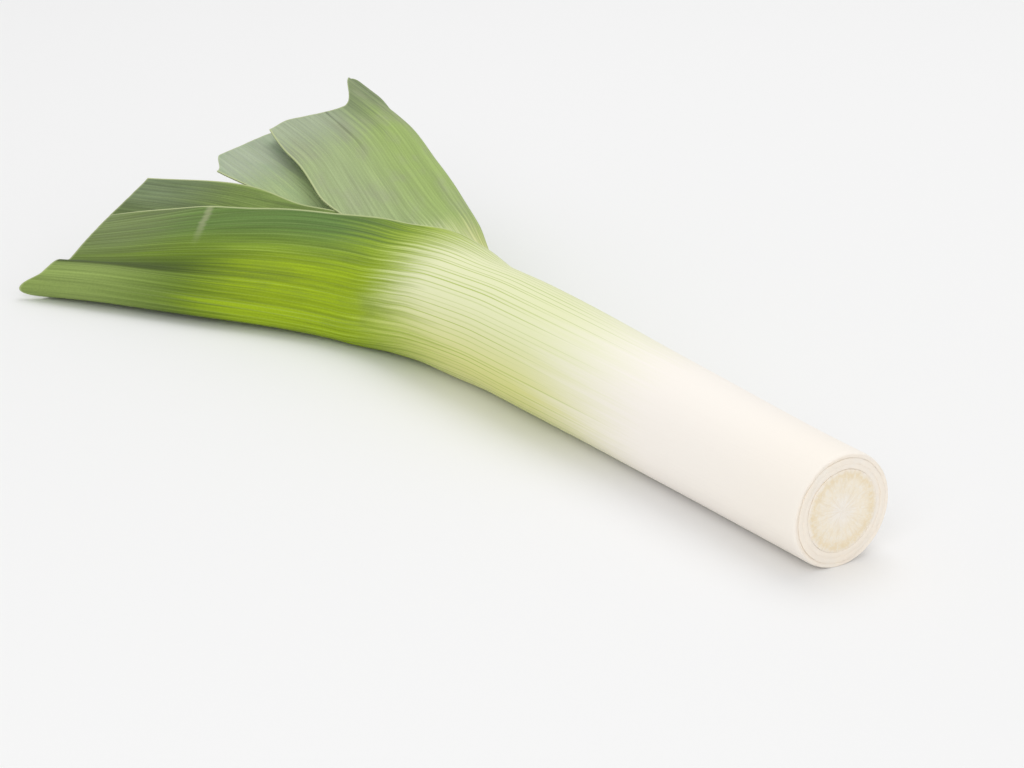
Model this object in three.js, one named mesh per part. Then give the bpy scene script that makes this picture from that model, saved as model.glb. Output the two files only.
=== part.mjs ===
// A trimmed leek lying on its side, in millimetres, +Z up.
// The shaft lies along X with its cut root end towards +X. Stations along the leek are distances d from
// that cut. Every leaf is a closed tube (its sheath) round the younger leaves, and opens at its throat
// into a blade folded at the keel. The leaves stand in two opposite rows, left (-Y) and right (+Y).
import * as THREE from 'three';

// Driving dimensions
const ROOT_RADIUS = 20;          // outer radius of the shaft at the cut root end
const SHAFT_SWELL = 0.15;        // share by which the shaft widens from the root end to the throat
const THROAT = 210;              // distance of the widest part from the cut
const INNER_TAPER = 0.14;        // share by which the bundle of inner sheaths narrows past the throat
const TAPER_LENGTH = 70;
const SHAFT_BEND = -0.02;        // sideways slope that the shaft gains towards the leaves
const SINK = 0.6;                // depth by which the round shaft is flattened where it lies
const ROLL = 22;                 // degrees by which the plane of the fan is turned about the shaft
const WALL = 1.2;                // thickness of a sheath
const BLADE = 1.0;               // thickness of a blade
const MARGIN_SHARE = 0.7;        // a blade's thickness at its margin, as a share of BLADE
const FOLD = 3.4;                // radius of the fold at the keel
const VALLEY_SHARE = 0.34;       // place of the valley beside the keel of the first left leaf, along its near half
const VALLEY_WIDTH = 0.07;
const LIP_WIDTH = 8;             // width of the lip at the keel of the first right leaf
const FLOOR = 0.6;               // lowest height of the middle of a blade
const CUT_ROUNDING = 0.5;        // rounding of the outer edge of the cut
const PLATE_RADIUS = 14.3;       // basal plate, from which all the leaves grow
const PLATE_HEIGHT = 8;
const INNER_START = 8.5;         // the younger leaves begin just above the plate
const HEART_SHARE = 0.411;       // radius of the rolled heart, as a share of the shaft's
const HEART_END = 340;

// Each leaf: row -1 is left and +1 is right, share is the sheath's outer radius as a share of the shaft's,
// ends are the distances of the trimmed end at the keel, beside the keel and at the margins.
// Each key from the throat on: distance, keel outwards, keel upwards, angle of the near half, angle of the
// far half, width of the near half, width of the far half, and how far the tube has opened (0 to 1).
const LEAVES = [
  {
    name: 'leaf_left_1', row: -1, share: 1.0, start: 0, ends: [384, 379, 393.5], columns: 26, rows: 16,
    valley: 45, lip: 0, corner: -2, peak: 0.14, colour: 0x8fae4a,
    keys: [
      [180, 0, 0, 64, 1, 0, 0, 0],
      [205, 1, -1, 64, 1, 61.5, 60, 0.03],
      [222, 2.5, -2.4, 64, 1, 60, 58, 0.19],
      [240, 5, -5.5, 63, 1, 58, 54, 0.43],
      [262, 12, -8, 60, -1, 54.5, 50, 0.62],
      [290, 27, -8, 52, 1, 50.5, 48, 0.88],
      [320, 47, -8, 42, 2, 52, 48, 1],
      [350, 66, -8, 34, 2, 57, 47, 1],
      [390, 91, -10, 22.4, 1, 62.5, 46, 1],
    ],
  },
  {
    name: 'leaf_right_1', row: 1, share: 0.905, start: 0, ends: [410, 382, 391], columns: 26, rows: 16,
    valley: 0, lip: 75, corner: 4, peak: 0.34, colour: 0x95a878,
    keys: [
      [200, 0, 0, -12, -66, 0, 0, 0],
      [221, 0, 0, -12, -70, 45, 51, 0],
      [240, 8, 4.5, -6, -74, 37, 41.5, 0.27],
      [258, 15.5, 12, -7, -74, 43, 35, 0.66],
      [285, 25, 17, -7, -70, 51, 40, 0.94],
      [315, 35, 20, -7, -62, 58, 45, 1],
      [355, 46.5, 25, -9, -54, 58, 46, 1],
      [411, 53, 31, -12, -50, 48.5, 43, 1],
    ],
  },
  {
    name: 'leaf_left_2', row: -1, share: 0.812, start: 0, ends: [401, 399, 396], columns: 22, rows: 13,
    valley: 0, lip: 0, corner: 0, peak: 0.2, colour: 0x6f8f55,
    keys: [
      [240, 0, 0, 62, 0, 0, 0, 0],
      [258, 0, 0, 62, -2, 43, 37, 0],
      [272, 3.5, -1.2, 64, -5, 42, 31, 0.22],
      [287, 11, -4.2, 59, -5, 42, 33, 0.54],
      [314, 25, -5, 44, 1, 43, 39, 0.94],
      [345, 35, -5, 40, 5, 46.5, 38, 1],
      [400, 55, -9, 40, 7, 43, 37, 1],
    ],
  },
  {
    name: 'leaf_right_2', row: 1, share: 0.708, start: INNER_START, ends: [402, 398, 393], columns: 22, rows: 13,
    valley: 0, lip: 0, corner: 14, peak: 0.2, colour: 0xa9b998,
    keys: [
      [260, 0, 0, -12, -70, 0, 0, 0],
      [278, 0, 0, -12, -74, 34, 33, 0],
      [300, 7, 6, -7, -76, 28, 25, 0.5],
      [325, 16, 11, -6, -74, 39, 28, 0.92],
      [350, 19, 15, -7, -70, 47, 32, 1],
      [410, 26, 18, -8, -62, 56, 35, 1],
    ],
  },
  {
    name: 'leaf_left_3', row: -1, share: 0.613, start: INNER_START, ends: [376, 374, 372], columns: 18, rows: 9,
    valley: 0, lip: 0, corner: 0, peak: 0.2, colour: 0xb9c987,
    keys: [
      [280, 0, 0, 60, 0, 0, 0, 0],
      [298, 0, 0, 60, -4, 29, 26, 0],
      [320, 7, -1, 46, -8, 29, 20, 0.50],
      [345, 13, -0.5, 29, 3, 30, 25, 0.92],
      [400, 20, -1, 22, 9, 30, 26, 1],
    ],
  },
  {
    name: 'leaf_right_3', row: 1, share: 0.518, start: INNER_START, ends: [380, 376, 372], columns: 18, rows: 8,
    valley: 0, lip: 0, corner: 0, peak: 0.2, colour: 0xc6d39a,
    keys: [
      [300, 0, 0, -22, -72, 0, 0, 0],
      [322, 0, 0, -22, -74, 23, 21, 0],
      [348, 3, 2, -24, -72, 21, 15, 0.6],
      [400, 6, 2, -24, -68, 23, 18, 1],
    ],
  },
];

const SHEATH_STATIONS = [50, 105, 160, 192, 214, 232, 248, 262, 275, 288];
const CROWDING = 0.35;           // columns crowd towards the keel and the margins
const ARC_STEPS = 60;
const DEGREE = Math.PI / 180;

function smooth(t) {
  const c = THREE.MathUtils.clamp(t, 0, 1);
  return c * c * (3 - 2 * c);
}

// The shaft
function shaftRadius(d) {
  return ROOT_RADIUS * (1 + SHAFT_SWELL * smooth(d / THROAT) - INNER_TAPER * smooth((d - THROAT) / TAPER_LENGTH));
}

function shaftY(d) {
  const bendStart = 20;
  const bendEnd = 200;
  const t = THREE.MathUtils.clamp((d - bendStart) / (bendEnd - bendStart), 0, 1);
  return SHAFT_BEND * ((bendEnd - bendStart) * (t ** 3 - t ** 4 / 2) + Math.max(0, d - bendEnd));
}

function shaftZ(d) {
  const drop = 1.2;
  return ROOT_RADIUS * (1 + SHAFT_SWELL * smooth(d / THROAT)) - SINK - drop * smooth((d - THROAT) / TAPER_LENGTH);
}

// Smooth curve through one column of a leaf's keys, level at the first key and without overshoot
function keyed(keys, column, d) {
  const last = keys.length - 1;
  const slope = (i) => {
    if (i <= 0) return 0;
    const before = (keys[i][column] - keys[i - 1][column]) / (keys[i][0] - keys[i - 1][0]);
    if (i === last) return before;
    const after = (keys[i + 1][column] - keys[i][column]) / (keys[i + 1][0] - keys[i][0]);
    return before * after <= 0 ? 0 : 2 * before * after / (before + after);
  };
  if (d <= keys[0][0]) return keys[0][column];
  if (d >= keys[last][0]) return keys[last][column] + slope(last) * (d - keys[last][0]);
  let i = 0;
  while (d > keys[i + 1][0]) i += 1;
  const h = keys[i + 1][0] - keys[i][0];
  const t = (d - keys[i][0]) / h;
  return keys[i][column] * (2 * t ** 3 - 3 * t ** 2 + 1) + h * slope(i) * (t ** 3 - 2 * t ** 2 + t)
    + keys[i + 1][column] * (3 * t ** 2 - 2 * t ** 3) + h * slope(i + 1) * (t ** 3 - t ** 2);
}

// Angle of the leaf's section, in degrees, at a distance s along it from the keel
function tangent(leaf, at, near, s) {
  const sign = near ? 1 : -1;
  const width = near ? at.nearWidth : at.farWidth;
  const angle = near ? at.nearAngle : at.farAngle;
  const middle = (at.nearAngle + at.farAngle) / 2;
  const tube = -leaf.row * ROLL + sign * (90 - s / at.radius / DEGREE);
  let blade = angle + (middle + sign * 90 - angle) * Math.exp(-s / FOLD);
  if (near && leaf.valley) {
    blade -= leaf.valley * Math.exp(-(((s / width - VALLEY_SHARE) / VALLEY_WIDTH) ** 2)) * smooth((at.d - 300) / 70);
  }
  if (!near && leaf.lip) {
    blade -= leaf.lip * Math.exp(-((s / LIP_WIDTH) ** 2)) * smooth((at.d - 360) / 30);
  }
  return THREE.MathUtils.lerp(tube, blade, at.open);
}

// The leaf's measures at a station
function station(leaf, d) {
  const split = leaf.keys[0][0];
  const radius = shaftRadius(d) * leaf.share - WALL / 2;
  const tubeWidth = Math.PI * (shaftRadius(Math.min(d, split)) * leaf.share - WALL / 2);
  const closed = d <= split;
  const keys = leaf.keys.map((key, i) => {
    const copy = [...key];
    if (i === 0) {
      copy[5] = tubeWidth;
      copy[6] = tubeWidth;
    }
    return copy;
  });
  return {
    d,
    radius,
    out: keyed(keys, 1, d),
    rise: keyed(keys, 2, d),
    nearAngle: keyed(keys, 3, d),
    farAngle: keyed(keys, 4, d),
    nearWidth: closed ? Math.PI * radius : keyed(keys, 5, d),
    farWidth: closed ? Math.PI * radius : keyed(keys, 6, d),
    open: THREE.MathUtils.clamp(keyed(keys, 7, d), 0, 1),
  };
}

// Middle of the leaf's thickness and its outward normal; q is 0 at the keel, 1 at the near margin, -1 at the far
function middle(leaf, d, q) {
  const at = station(leaf, d);
  const near = q >= 0;
  const length = Math.abs(q) * (near ? at.nearWidth : at.farWidth);
  const steps = Math.max(1, Math.ceil(Math.abs(q) * ARC_STEPS));
  let inward = 0;
  let upward = 0;
  for (let i = 0; i < steps; i += 1) {
    const a = tangent(leaf, at, near, (i + 0.5) * length / steps) * DEGREE;
    inward += Math.cos(a) * length / steps;
    upward += Math.sin(a) * length / steps;
  }
  const a = tangent(leaf, at, near, length) * DEGREE;
  const sign = near ? 1 : -1;
  const keelY = shaftY(d) + leaf.row * (at.radius * Math.cos(ROLL * DEGREE) + at.out);
  const keelZ = shaftZ(d) + leaf.row * at.radius * Math.sin(ROLL * DEGREE) + at.rise;
  const y = keelY - leaf.row * inward;
  const z = keelZ + upward;
  return { y, z, ny: leaf.row * sign * Math.sin(a), nz: sign * Math.cos(a), open: at.open };
}

// Height kept above the surface that the leek lies on
function settle(z, open) {
  const free = smooth(5 * open);
  const floor = THREE.MathUtils.lerp(WALL / 2 - SINK, FLOOR, free);
  const soft = THREE.MathUtils.lerp(0.05, 1.5, free);
  const above = z - floor;
  if (above > soft) return z;
  return floor + (above < -soft ? 0 : (above + soft) ** 2 / (4 * soft));
}

// Outer and inner point of the leaf
function wall(leaf, d, q) {
  const m = middle(leaf, d, q);
  const split = leaf.keys[0][0];
  const taper = 1 - (1 - MARGIN_SHARE) * smooth((Math.abs(q) - 0.8) / 0.2) * smooth((d - split) / 20);
  const half = taper * THREE.MathUtils.lerp(WALL, BLADE, smooth((d - split + 20) / 60)) / 2;
  const rounding = CUT_ROUNDING * Math.max(0, 1 - d / 2) ** 2;
  const z = settle(m.z, m.open);
  return {
    outer: new THREE.Vector3(-d, m.y + m.ny * (half - rounding), Math.max(0, z + m.nz * (half - rounding))),
    inner: new THREE.Vector3(-d, m.y - m.ny * half, z - m.nz * half),
  };
}

function trimmedEnd(leaf, q) {
  const [keel, beside, margin] = leaf.ends;
  const t = Math.abs(q);
  const rounded = leaf.corner * smooth((t - 0.8) / 0.2);
  const toMargin = smooth((t - leaf.peak) / (1 - leaf.peak));
  return keel + (beside - keel) * smooth(t / leaf.peak) + (margin - beside) * toMargin - rounded;
}

function solidGeometry(points, triangles) {
  const geometry = new THREE.BufferGeometry();
  const positions = new Float32Array(points.length * 3);
  points.forEach((p, i) => p.toArray(positions, i * 3));
  geometry.setAttribute('position', new THREE.BufferAttribute(positions, 3));
  geometry.setIndex(triangles);
  geometry.computeVertexNormals();
  return geometry;
}

// Closed solid of one leaf: rings for the sheath, then open rows for the blade
function leafGeometry(leaf) {
  const split = leaf.keys[0][0];
  const half = leaf.columns / 2;
  const shares = [];
  for (let i = -half; i <= half; i += 1) {
    shares.push(i / half - CROWDING * Math.sin(2 * Math.PI * i / half) / (2 * Math.PI));
  }
  const closed = [0, 0.7, 2].map((d) => leaf.start + d);
  closed.push(...SHEATH_STATIONS.filter((d) => d < split - 6), split);
  const points = [];
  const outer = [];
  const inner = [];
  const addRow = (stationOf, ring) => {
    const outerRow = [];
    const innerRow = [];
    shares.forEach((q, i) => {
      if (ring && i === shares.length - 1) {
        outerRow.push(outerRow[0]);
        innerRow.push(innerRow[0]);
        return;
      }
      const w = wall(leaf, stationOf(q), q);
      outerRow.push(points.push(w.outer) - 1);
      innerRow.push(points.push(w.inner) - 1);
    });
    outer.push(outerRow);
    inner.push(innerRow);
  };
  closed.forEach((d) => addRow(() => d, true));
  for (let r = 1; r <= leaf.rows; r += 1) {
    const share = r / leaf.rows;
    addRow((q) => split + (trimmedEnd(leaf, q) - split) * share, false);
  }
  const triangles = [];
  const quad = (a, b, c, d) => triangles.push(a, b, c, a, c, d);
  const last = outer.length - 1;
  const columns = shares.length - 1;
  for (let r = 0; r < last; r += 1) {
    for (let c = 0; c < columns; c += 1) {
      quad(outer[r][c], outer[r][c + 1], outer[r + 1][c + 1], outer[r + 1][c]);
      triangles.push(inner[r][c], inner[r + 1][c + 1], inner[r][c + 1]);
      triangles.push(inner[r][c], inner[r + 1][c], inner[r + 1][c + 1]);
    }
  }
  for (let c = 0; c < columns; c += 1) {
    quad(outer[0][c + 1], outer[0][c], inner[0][c], inner[0][c + 1]);
    quad(outer[last][c], outer[last][c + 1], inner[last][c + 1], inner[last][c]);
  }
  const wallTriangles = (a, b, c, d) => {
    if (a !== b && a !== c && b !== c) triangles.push(a, b, c);
    if (a !== c && a !== d && c !== d) triangles.push(a, c, d);
  };
  for (let r = closed.length - 1; r < last; r += 1) {
    wallTriangles(outer[r][0], outer[r + 1][0], inner[r + 1][0], inner[r][0]);
    wallTriangles(outer[r + 1][columns], outer[r][columns], inner[r][columns], inner[r + 1][columns]);
  }
  if (leaf.row > 0) {
    for (let i = 0; i < triangles.length; i += 3) {
      const swap = triangles[i];
      triangles[i] = triangles[i + 1];
      triangles[i + 1] = swap;
    }
  }
  return solidGeometry(points, triangles);
}

// Closed solid of rings with a cap at each end; each ring is given as distance, radius
function rodGeometry(rings, sides) {
  const points = [];
  rings.forEach(([d, radius]) => {
    for (let i = 0; i < sides; i += 1) {
      const a = i / sides * 2 * Math.PI;
      const at = new THREE.Vector3(-d, shaftY(d) + radius * Math.cos(a), shaftZ(d) + radius * Math.sin(a));
      points.push(at);
    }
  });
  const [firstD] = rings[0];
  const [lastD] = rings[rings.length - 1];
  const firstCentre = points.push(new THREE.Vector3(-firstD, shaftY(firstD), shaftZ(firstD))) - 1;
  const lastCentre = points.push(new THREE.Vector3(-lastD, shaftY(lastD), shaftZ(lastD))) - 1;
  const triangles = [];
  for (let r = 0; r < rings.length - 1; r += 1) {
    for (let i = 0; i < sides; i += 1) {
      const next = (i + 1) % sides;
      const a = r * sides + i;
      const b = r * sides + next;
      triangles.push(a, a + sides, b, b, a + sides, b + sides);
    }
  }
  for (let i = 0; i < sides; i += 1) {
    const next = (i + 1) % sides;
    triangles.push(firstCentre, i, next);
    const base = (rings.length - 1) * sides;
    triangles.push(lastCentre, base + next, base + i);
  }
  return solidGeometry(points, triangles);
}

function plateGeometry() {
  return rodGeometry([
    [0.3, PLATE_RADIUS * 0.45],
    [0.1, PLATE_RADIUS * 0.82],
    [0, PLATE_RADIUS - 0.4],
    [0.5, PLATE_RADIUS],
    [5, PLATE_RADIUS],
    [PLATE_HEIGHT, PLATE_RADIUS - 1.5],
  ], 40);
}

function heartGeometry() {
  const rings = [];
  [INNER_START, 60, 120, 180, 230, 270].forEach((d) => rings.push([d, shaftRadius(d) * HEART_SHARE]));
  const full = shaftRadius(HEART_END) * HEART_SHARE;
  [0.35, 0.6, 0.8, 0.93, 1].forEach((t) => {
    rings.push([270 + (HEART_END - 270) * t, full * Math.sqrt(Math.max(0.006, 1 - t ** 1.6))]);
  });
  return rodGeometry(rings, 20);
}

function leafMaterial(colour) {
  return new THREE.MeshStandardMaterial({ color: colour, roughness: 0.5, metalness: 0 });
}

const group = new THREE.Group();

const plate = new THREE.Mesh(plateGeometry(), leafMaterial(0xe6dcae));
plate.name = 'basal_plate';
group.add(plate);

for (const leaf of LEAVES) {
  const mesh = new THREE.Mesh(leafGeometry(leaf), leafMaterial(leaf.colour));
  mesh.name = leaf.name;
  group.add(mesh);
}

const heart = new THREE.Mesh(heartGeometry(), leafMaterial(0xdfe3b4));
heart.name = 'heart_leaf';
group.add(heart);

// The origin is under the middle of the leek, on the surface that it lies on
const box = new THREE.Box3();
group.children.forEach((mesh) => {
  mesh.geometry.computeBoundingBox();
  box.union(mesh.geometry.boundingBox);
});
const centre = box.getCenter(new THREE.Vector3());
group.position.set(-centre.x, -centre.y, -box.min.z);

export default group;
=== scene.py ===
# A trimmed leek lying on its side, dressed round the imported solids.
# Stations along the leek are distances in millimetres from the cut root end. Across a leaf a point is
# given by its share: 0 at the keel, 1 at the near margin and -1 at the far margin.
import math

import bpy
import numpy as np
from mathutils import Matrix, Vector, noise


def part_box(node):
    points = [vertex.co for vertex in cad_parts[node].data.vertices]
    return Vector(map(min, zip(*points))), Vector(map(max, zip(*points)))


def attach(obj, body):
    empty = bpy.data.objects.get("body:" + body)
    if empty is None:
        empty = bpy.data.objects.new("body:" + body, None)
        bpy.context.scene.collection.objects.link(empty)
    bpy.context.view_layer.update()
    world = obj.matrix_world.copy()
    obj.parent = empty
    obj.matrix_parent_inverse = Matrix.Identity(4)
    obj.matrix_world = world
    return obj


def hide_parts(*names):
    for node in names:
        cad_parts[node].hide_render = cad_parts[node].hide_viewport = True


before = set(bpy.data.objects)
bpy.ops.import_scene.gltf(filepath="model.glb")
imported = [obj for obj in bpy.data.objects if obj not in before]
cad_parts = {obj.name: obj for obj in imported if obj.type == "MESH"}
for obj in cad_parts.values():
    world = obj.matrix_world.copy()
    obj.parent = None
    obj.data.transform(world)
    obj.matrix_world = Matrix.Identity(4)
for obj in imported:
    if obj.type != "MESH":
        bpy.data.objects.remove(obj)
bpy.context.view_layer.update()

# The shaft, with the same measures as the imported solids
ROOT_RADIUS = 20.0
SHAFT_SWELL = 0.15
THROAT = 210.0
INNER_TAPER = 0.14
TAPER_LENGTH = 70.0
SHAFT_BEND = -0.02
BEND_START = 20.0
BEND_END = 200.0
DROP = 1.2
SINK = 0.6
ROLL = math.radians(22)
FLOOR = 0.6
INNER_START = 8.5

# Thickness of a sheath, of a blade, and of a margin as a share of the blade
WALL = 1.2
BLADE = 1.0
THINNING_LEAD = 20
THINNING_LENGTH = 60
MARGIN_SHARE = 0.7
MARGIN_BAND = 0.2
MARGIN_THINNING = 20

# The sheaths swell at the cut, where they press on each other
CUT_WALL = 1.89
CUT_WALL_LENGTH = 30.0

# Rounding of the outer edge of the cut, the crowding of rows towards it, and how uneven the cut is
CUT_ROUNDING = 1.1
CUT_ROUNDING_LENGTH = 2.4
ROW_CROWDING = 1.5
CUT_UNEVEN = 0.5
CUT_WAVES = 2.2
CUT_RAGS = 9

# The fold at a keel is this wide. The first left leaf has a lengthwise valley beside its keel, and the
# first right leaf a lip at its keel
FOLD = 3.4
VALLEY_SHARE = 0.34
VALLEY_WIDTH = 0.07
VALLEY_START = 300
VALLEY_LENGTH = 70
LIP_WIDTH = 8.0
LIP_START = 360
LIP_LENGTH = 30

# A leaf meets the surface softly, the sooner it opens the more so
TUBE_SOFTNESS = 0.05
BLADE_SOFTNESS = 1.5
FREEING = 5

# Low relief of the leaves: narrow ribs and broad slack, both stronger in the blade
RIB_WIDTH = 2.6
RIB_LENGTH = 160
RIB_HEIGHT = 0.05
RIB_GAIN = 0.10
SLACK_WIDTH = 17
SLACK_LENGTH = 45
SLACK_HEIGHT = 0.22
SLACK_GAIN = 0.20
RELIEF_GROWTH = 60

# Relief fades out beside the seam of a sheath, at the root cut and near the surface
SEAM_CALM = 0.08
SEAM_LENGTH = 40
CUT_CALM = 12
LOW_CALM_FROM = 0.002
LOW_CALM_HEIGHT = 0.004

# The meshes of the leaves
ARC_STEPS = 60
SHEATH_ROWS = 50
MARGIN_CROWDING = 0.3
MARGIN_OPENS = 15
RIM_BEVEL = 0.00014
MERGE_REACH = 0.000002
EDGE_OF_GRID = 0.9999
FAR_FROM_EDGE = 40.0

# The rolled heart
HEART_SHARE = 0.411
HEART_END = 340.0
HEART_NARROWS = 270
HEART_BLUNTNESS = 1.6
HEART_COLUMNS = 64
HEART_ROWS = 120

# The basal plate, with its hollow, the stubs of the roots and the ends of the fibres
PLATE_RADIUS = 14.3
PLATE_HEIGHT = 8.0
PLATE_SIDES = 128
PLATE_RINGS = 28
PLATE_HOLLOW = 0.30
STUB_SPACING = 1.9
STUB_REACH = 0.45
STUB_HEIGHT = 0.28
FIBRE_SPACING = 0.9
FIBRE_HEIGHT = 0.10
CALM_RIM = 1.2
RIM_DROP = 0.15
RIM_DROP_WIDTH = 0.5

# Each key from the throat on: distance, keel outwards, keel upwards, angle of the near half, angle of the
# far half, width of the near half, width of the far half, and how far the tube has opened
LEAVES = [
    {
        "name": "leaf_left_1", "row": -1, "share": 1.0, "start": 0.0, "ends": (384, 379, 393.5),
        "columns": 150, "blade_rows": 150,
        "valley": 45, "lip": 0, "corner": -2, "peak": 0.14,
        "keys": [
            (180, 0, 0, 64, 1, 0, 0, 0),
            (205, 1, -1, 64, 1, 61.5, 60, 0.03),
            (222, 2.5, -2.4, 64, 1, 60, 58, 0.19),
            (240, 5, -5.5, 63, 1, 58, 54, 0.43),
            (262, 12, -8, 60, -1, 54.5, 50, 0.62),
            (290, 27, -8, 52, 1, 50.5, 48, 0.88),
            (320, 47, -8, 42, 2, 52, 48, 1),
            (350, 66, -8, 34, 2, 57, 47, 1),
            (390, 91, -10, 22.4, 1, 62.5, 46, 1),
        ],
    },
    {
        "name": "leaf_right_1", "row": 1, "share": 0.905, "start": 0.0, "ends": (410, 382, 391),
        "columns": 150, "blade_rows": 150,
        "valley": 0, "lip": 75, "corner": 4, "peak": 0.34,
        "keys": [
            (200, 0, 0, -12, -66, 0, 0, 0),
            (221, 0, 0, -12, -70, 45, 51, 0),
            (240, 8, 4.5, -6, -74, 37, 41.5, 0.27),
            (258, 15.5, 12, -7, -74, 43, 35, 0.66),
            (285, 25, 17, -7, -70, 51, 40, 0.94),
            (315, 35, 20, -7, -62, 58, 45, 1),
            (355, 46.5, 25, -9, -54, 58, 46, 1),
            (411, 53, 31, -12, -50, 48.5, 43, 1),
        ],
    },
    {
        "name": "leaf_left_2", "row": -1, "share": 0.812, "start": 0.0, "ends": (401, 399, 396),
        "columns": 120, "blade_rows": 110,
        "valley": 0, "lip": 0, "corner": 0, "peak": 0.2,
        "keys": [
            (240, 0, 0, 62, 0, 0, 0, 0),
            (258, 0, 0, 62, -2, 43, 37, 0),
            (272, 3.5, -1.2, 64, -5, 42, 31, 0.22),
            (287, 11, -4.2, 59, -5, 42, 33, 0.54),
            (314, 25, -5, 44, 1, 43, 39, 0.94),
            (345, 35, -5, 40, 5, 46.5, 38, 1),
            (400, 55, -9, 40, 7, 43, 37, 1),
        ],
    },
    {
        "name": "leaf_right_2", "row": 1, "share": 0.708, "start": INNER_START, "ends": (402, 398, 393),
        "columns": 110, "blade_rows": 100,
        "valley": 0, "lip": 0, "corner": 14, "peak": 0.2,
        "keys": [
            (260, 0, 0, -12, -70, 0, 0, 0),
            (278, 0, 0, -12, -74, 34, 33, 0),
            (300, 7, 6, -7, -76, 28, 25, 0.5),
            (325, 16, 11, -6, -74, 39, 28, 0.92),
            (350, 19, 15, -7, -70, 47, 32, 1),
            (410, 26, 18, -8, -62, 56, 35, 1),
        ],
    },
    {
        "name": "leaf_left_3", "row": -1, "share": 0.613, "start": INNER_START, "ends": (376, 374, 372),
        "columns": 80, "blade_rows": 70,
        "valley": 0, "lip": 0, "corner": 0, "peak": 0.2,
        "keys": [
            (280, 0, 0, 60, 0, 0, 0, 0),
            (298, 0, 0, 60, -4, 29, 26, 0),
            (320, 7, -1, 46, -8, 29, 20, 0.50),
            (345, 13, -0.5, 29, 3, 30, 25, 0.92),
            (400, 20, -1, 22, 9, 30, 26, 1),
        ],
    },
    {
        "name": "leaf_right_3", "row": 1, "share": 0.518, "start": INNER_START, "ends": (380, 376, 372),
        "columns": 70, "blade_rows": 60,
        "valley": 0, "lip": 0, "corner": 0, "peak": 0.2,
        "keys": [
            (300, 0, 0, -22, -72, 0, 0, 0),
            (322, 0, 0, -22, -74, 23, 21, 0),
            (348, 3, 2, -24, -72, 21, 15, 0.6),
            (400, 6, 2, -24, -68, 23, 18, 1),
        ],
    },
]

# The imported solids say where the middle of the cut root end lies
plate_low, plate_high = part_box("basal_plate")
ROOT_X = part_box("leaf_left_1")[1].x
ROOT_Y = (plate_low.y + plate_high.y) / 2


def smooth(t):
    c = np.clip(t, 0.0, 1.0)
    return c * c * (3 - 2 * c)


def between(a, b, t):
    return a + (b - a) * t


def place(d, y, z):
    """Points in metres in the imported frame, from a distance, a sideways place and a height in millimetres."""
    return np.stack([ROOT_X - d / 1000, ROOT_Y + y / 1000, z / 1000], axis=-1)


def shaft_radius(d):
    swell = SHAFT_SWELL * smooth(d / THROAT)
    taper = INNER_TAPER * smooth((d - THROAT) / TAPER_LENGTH)
    return ROOT_RADIUS * (1 + swell - taper)


def shaft_y(d):
    run = BEND_END - BEND_START
    t = np.clip((d - BEND_START) / run, 0.0, 1.0)
    return SHAFT_BEND * (run * (t ** 3 - t ** 4 / 2) + np.maximum(0.0, d - BEND_END))


def shaft_z(d):
    swell = SHAFT_SWELL * smooth(d / THROAT)
    drop = DROP * smooth((d - THROAT) / TAPER_LENGTH)
    return ROOT_RADIUS * (1 + swell) - SINK - drop


def keyed(keys, column, d):
    """Smooth curve through one column of a leaf's keys, level at the first key and without overshoot."""
    at = np.array([key[0] for key in keys], float)
    value = np.array([key[column] for key in keys], float)
    rate = np.diff(value) / np.diff(at)
    slope = np.zeros(len(at))
    for i in range(1, len(at) - 1):
        if rate[i - 1] * rate[i] > 0:
            slope[i] = 2 * rate[i - 1] * rate[i] / (rate[i - 1] + rate[i])
    slope[-1] = rate[-1]
    inside = np.clip(d, at[0], at[-1])
    i = np.clip(np.searchsorted(at, inside, side="right") - 1, 0, len(at) - 2)
    h = at[i + 1] - at[i]
    t = (inside - at[i]) / h
    curve = value[i] * (2 * t ** 3 - 3 * t ** 2 + 1) + h * slope[i] * (t ** 3 - 2 * t ** 2 + t)
    curve += value[i + 1] * (3 * t ** 2 - 2 * t ** 3) + h * slope[i + 1] * (t ** 3 - t ** 2)
    return curve + np.maximum(0.0, d - at[-1]) * slope[-1]


def cut_rounding(leaf, d):
    """How far the outer face of the outermost sheath falls back at its cut edge."""
    if leaf["share"] < 1:
        return np.zeros_like(d)
    near_cut = np.clip(1 - d / CUT_ROUNDING_LENGTH, 0.0, 1.0)
    return CUT_ROUNDING * (1 - np.sqrt(1 - near_cut ** 2))


def wall_thickness(leaf, d, q):
    """Thickness of a leaf: thicker where the sheaths are cut, thinner in the blade and at its margins."""
    split = leaf["keys"][0][0]
    sheath = between(WALL, BLADE, smooth((d - split + THINNING_LEAD) / THINNING_LENGTH))
    at_margin = smooth((np.abs(q) - (1 - MARGIN_BAND)) / MARGIN_BAND)
    margin = 1 - (1 - MARGIN_SHARE) * at_margin * smooth((d - split) / MARGIN_THINNING)
    at_cut = 0.0
    if leaf["start"] == 0:
        at_cut = (CUT_WALL - WALL) * smooth(1 - d / CUT_WALL_LENGTH)
    return sheath * margin + at_cut - cut_rounding(leaf, d)


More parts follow.
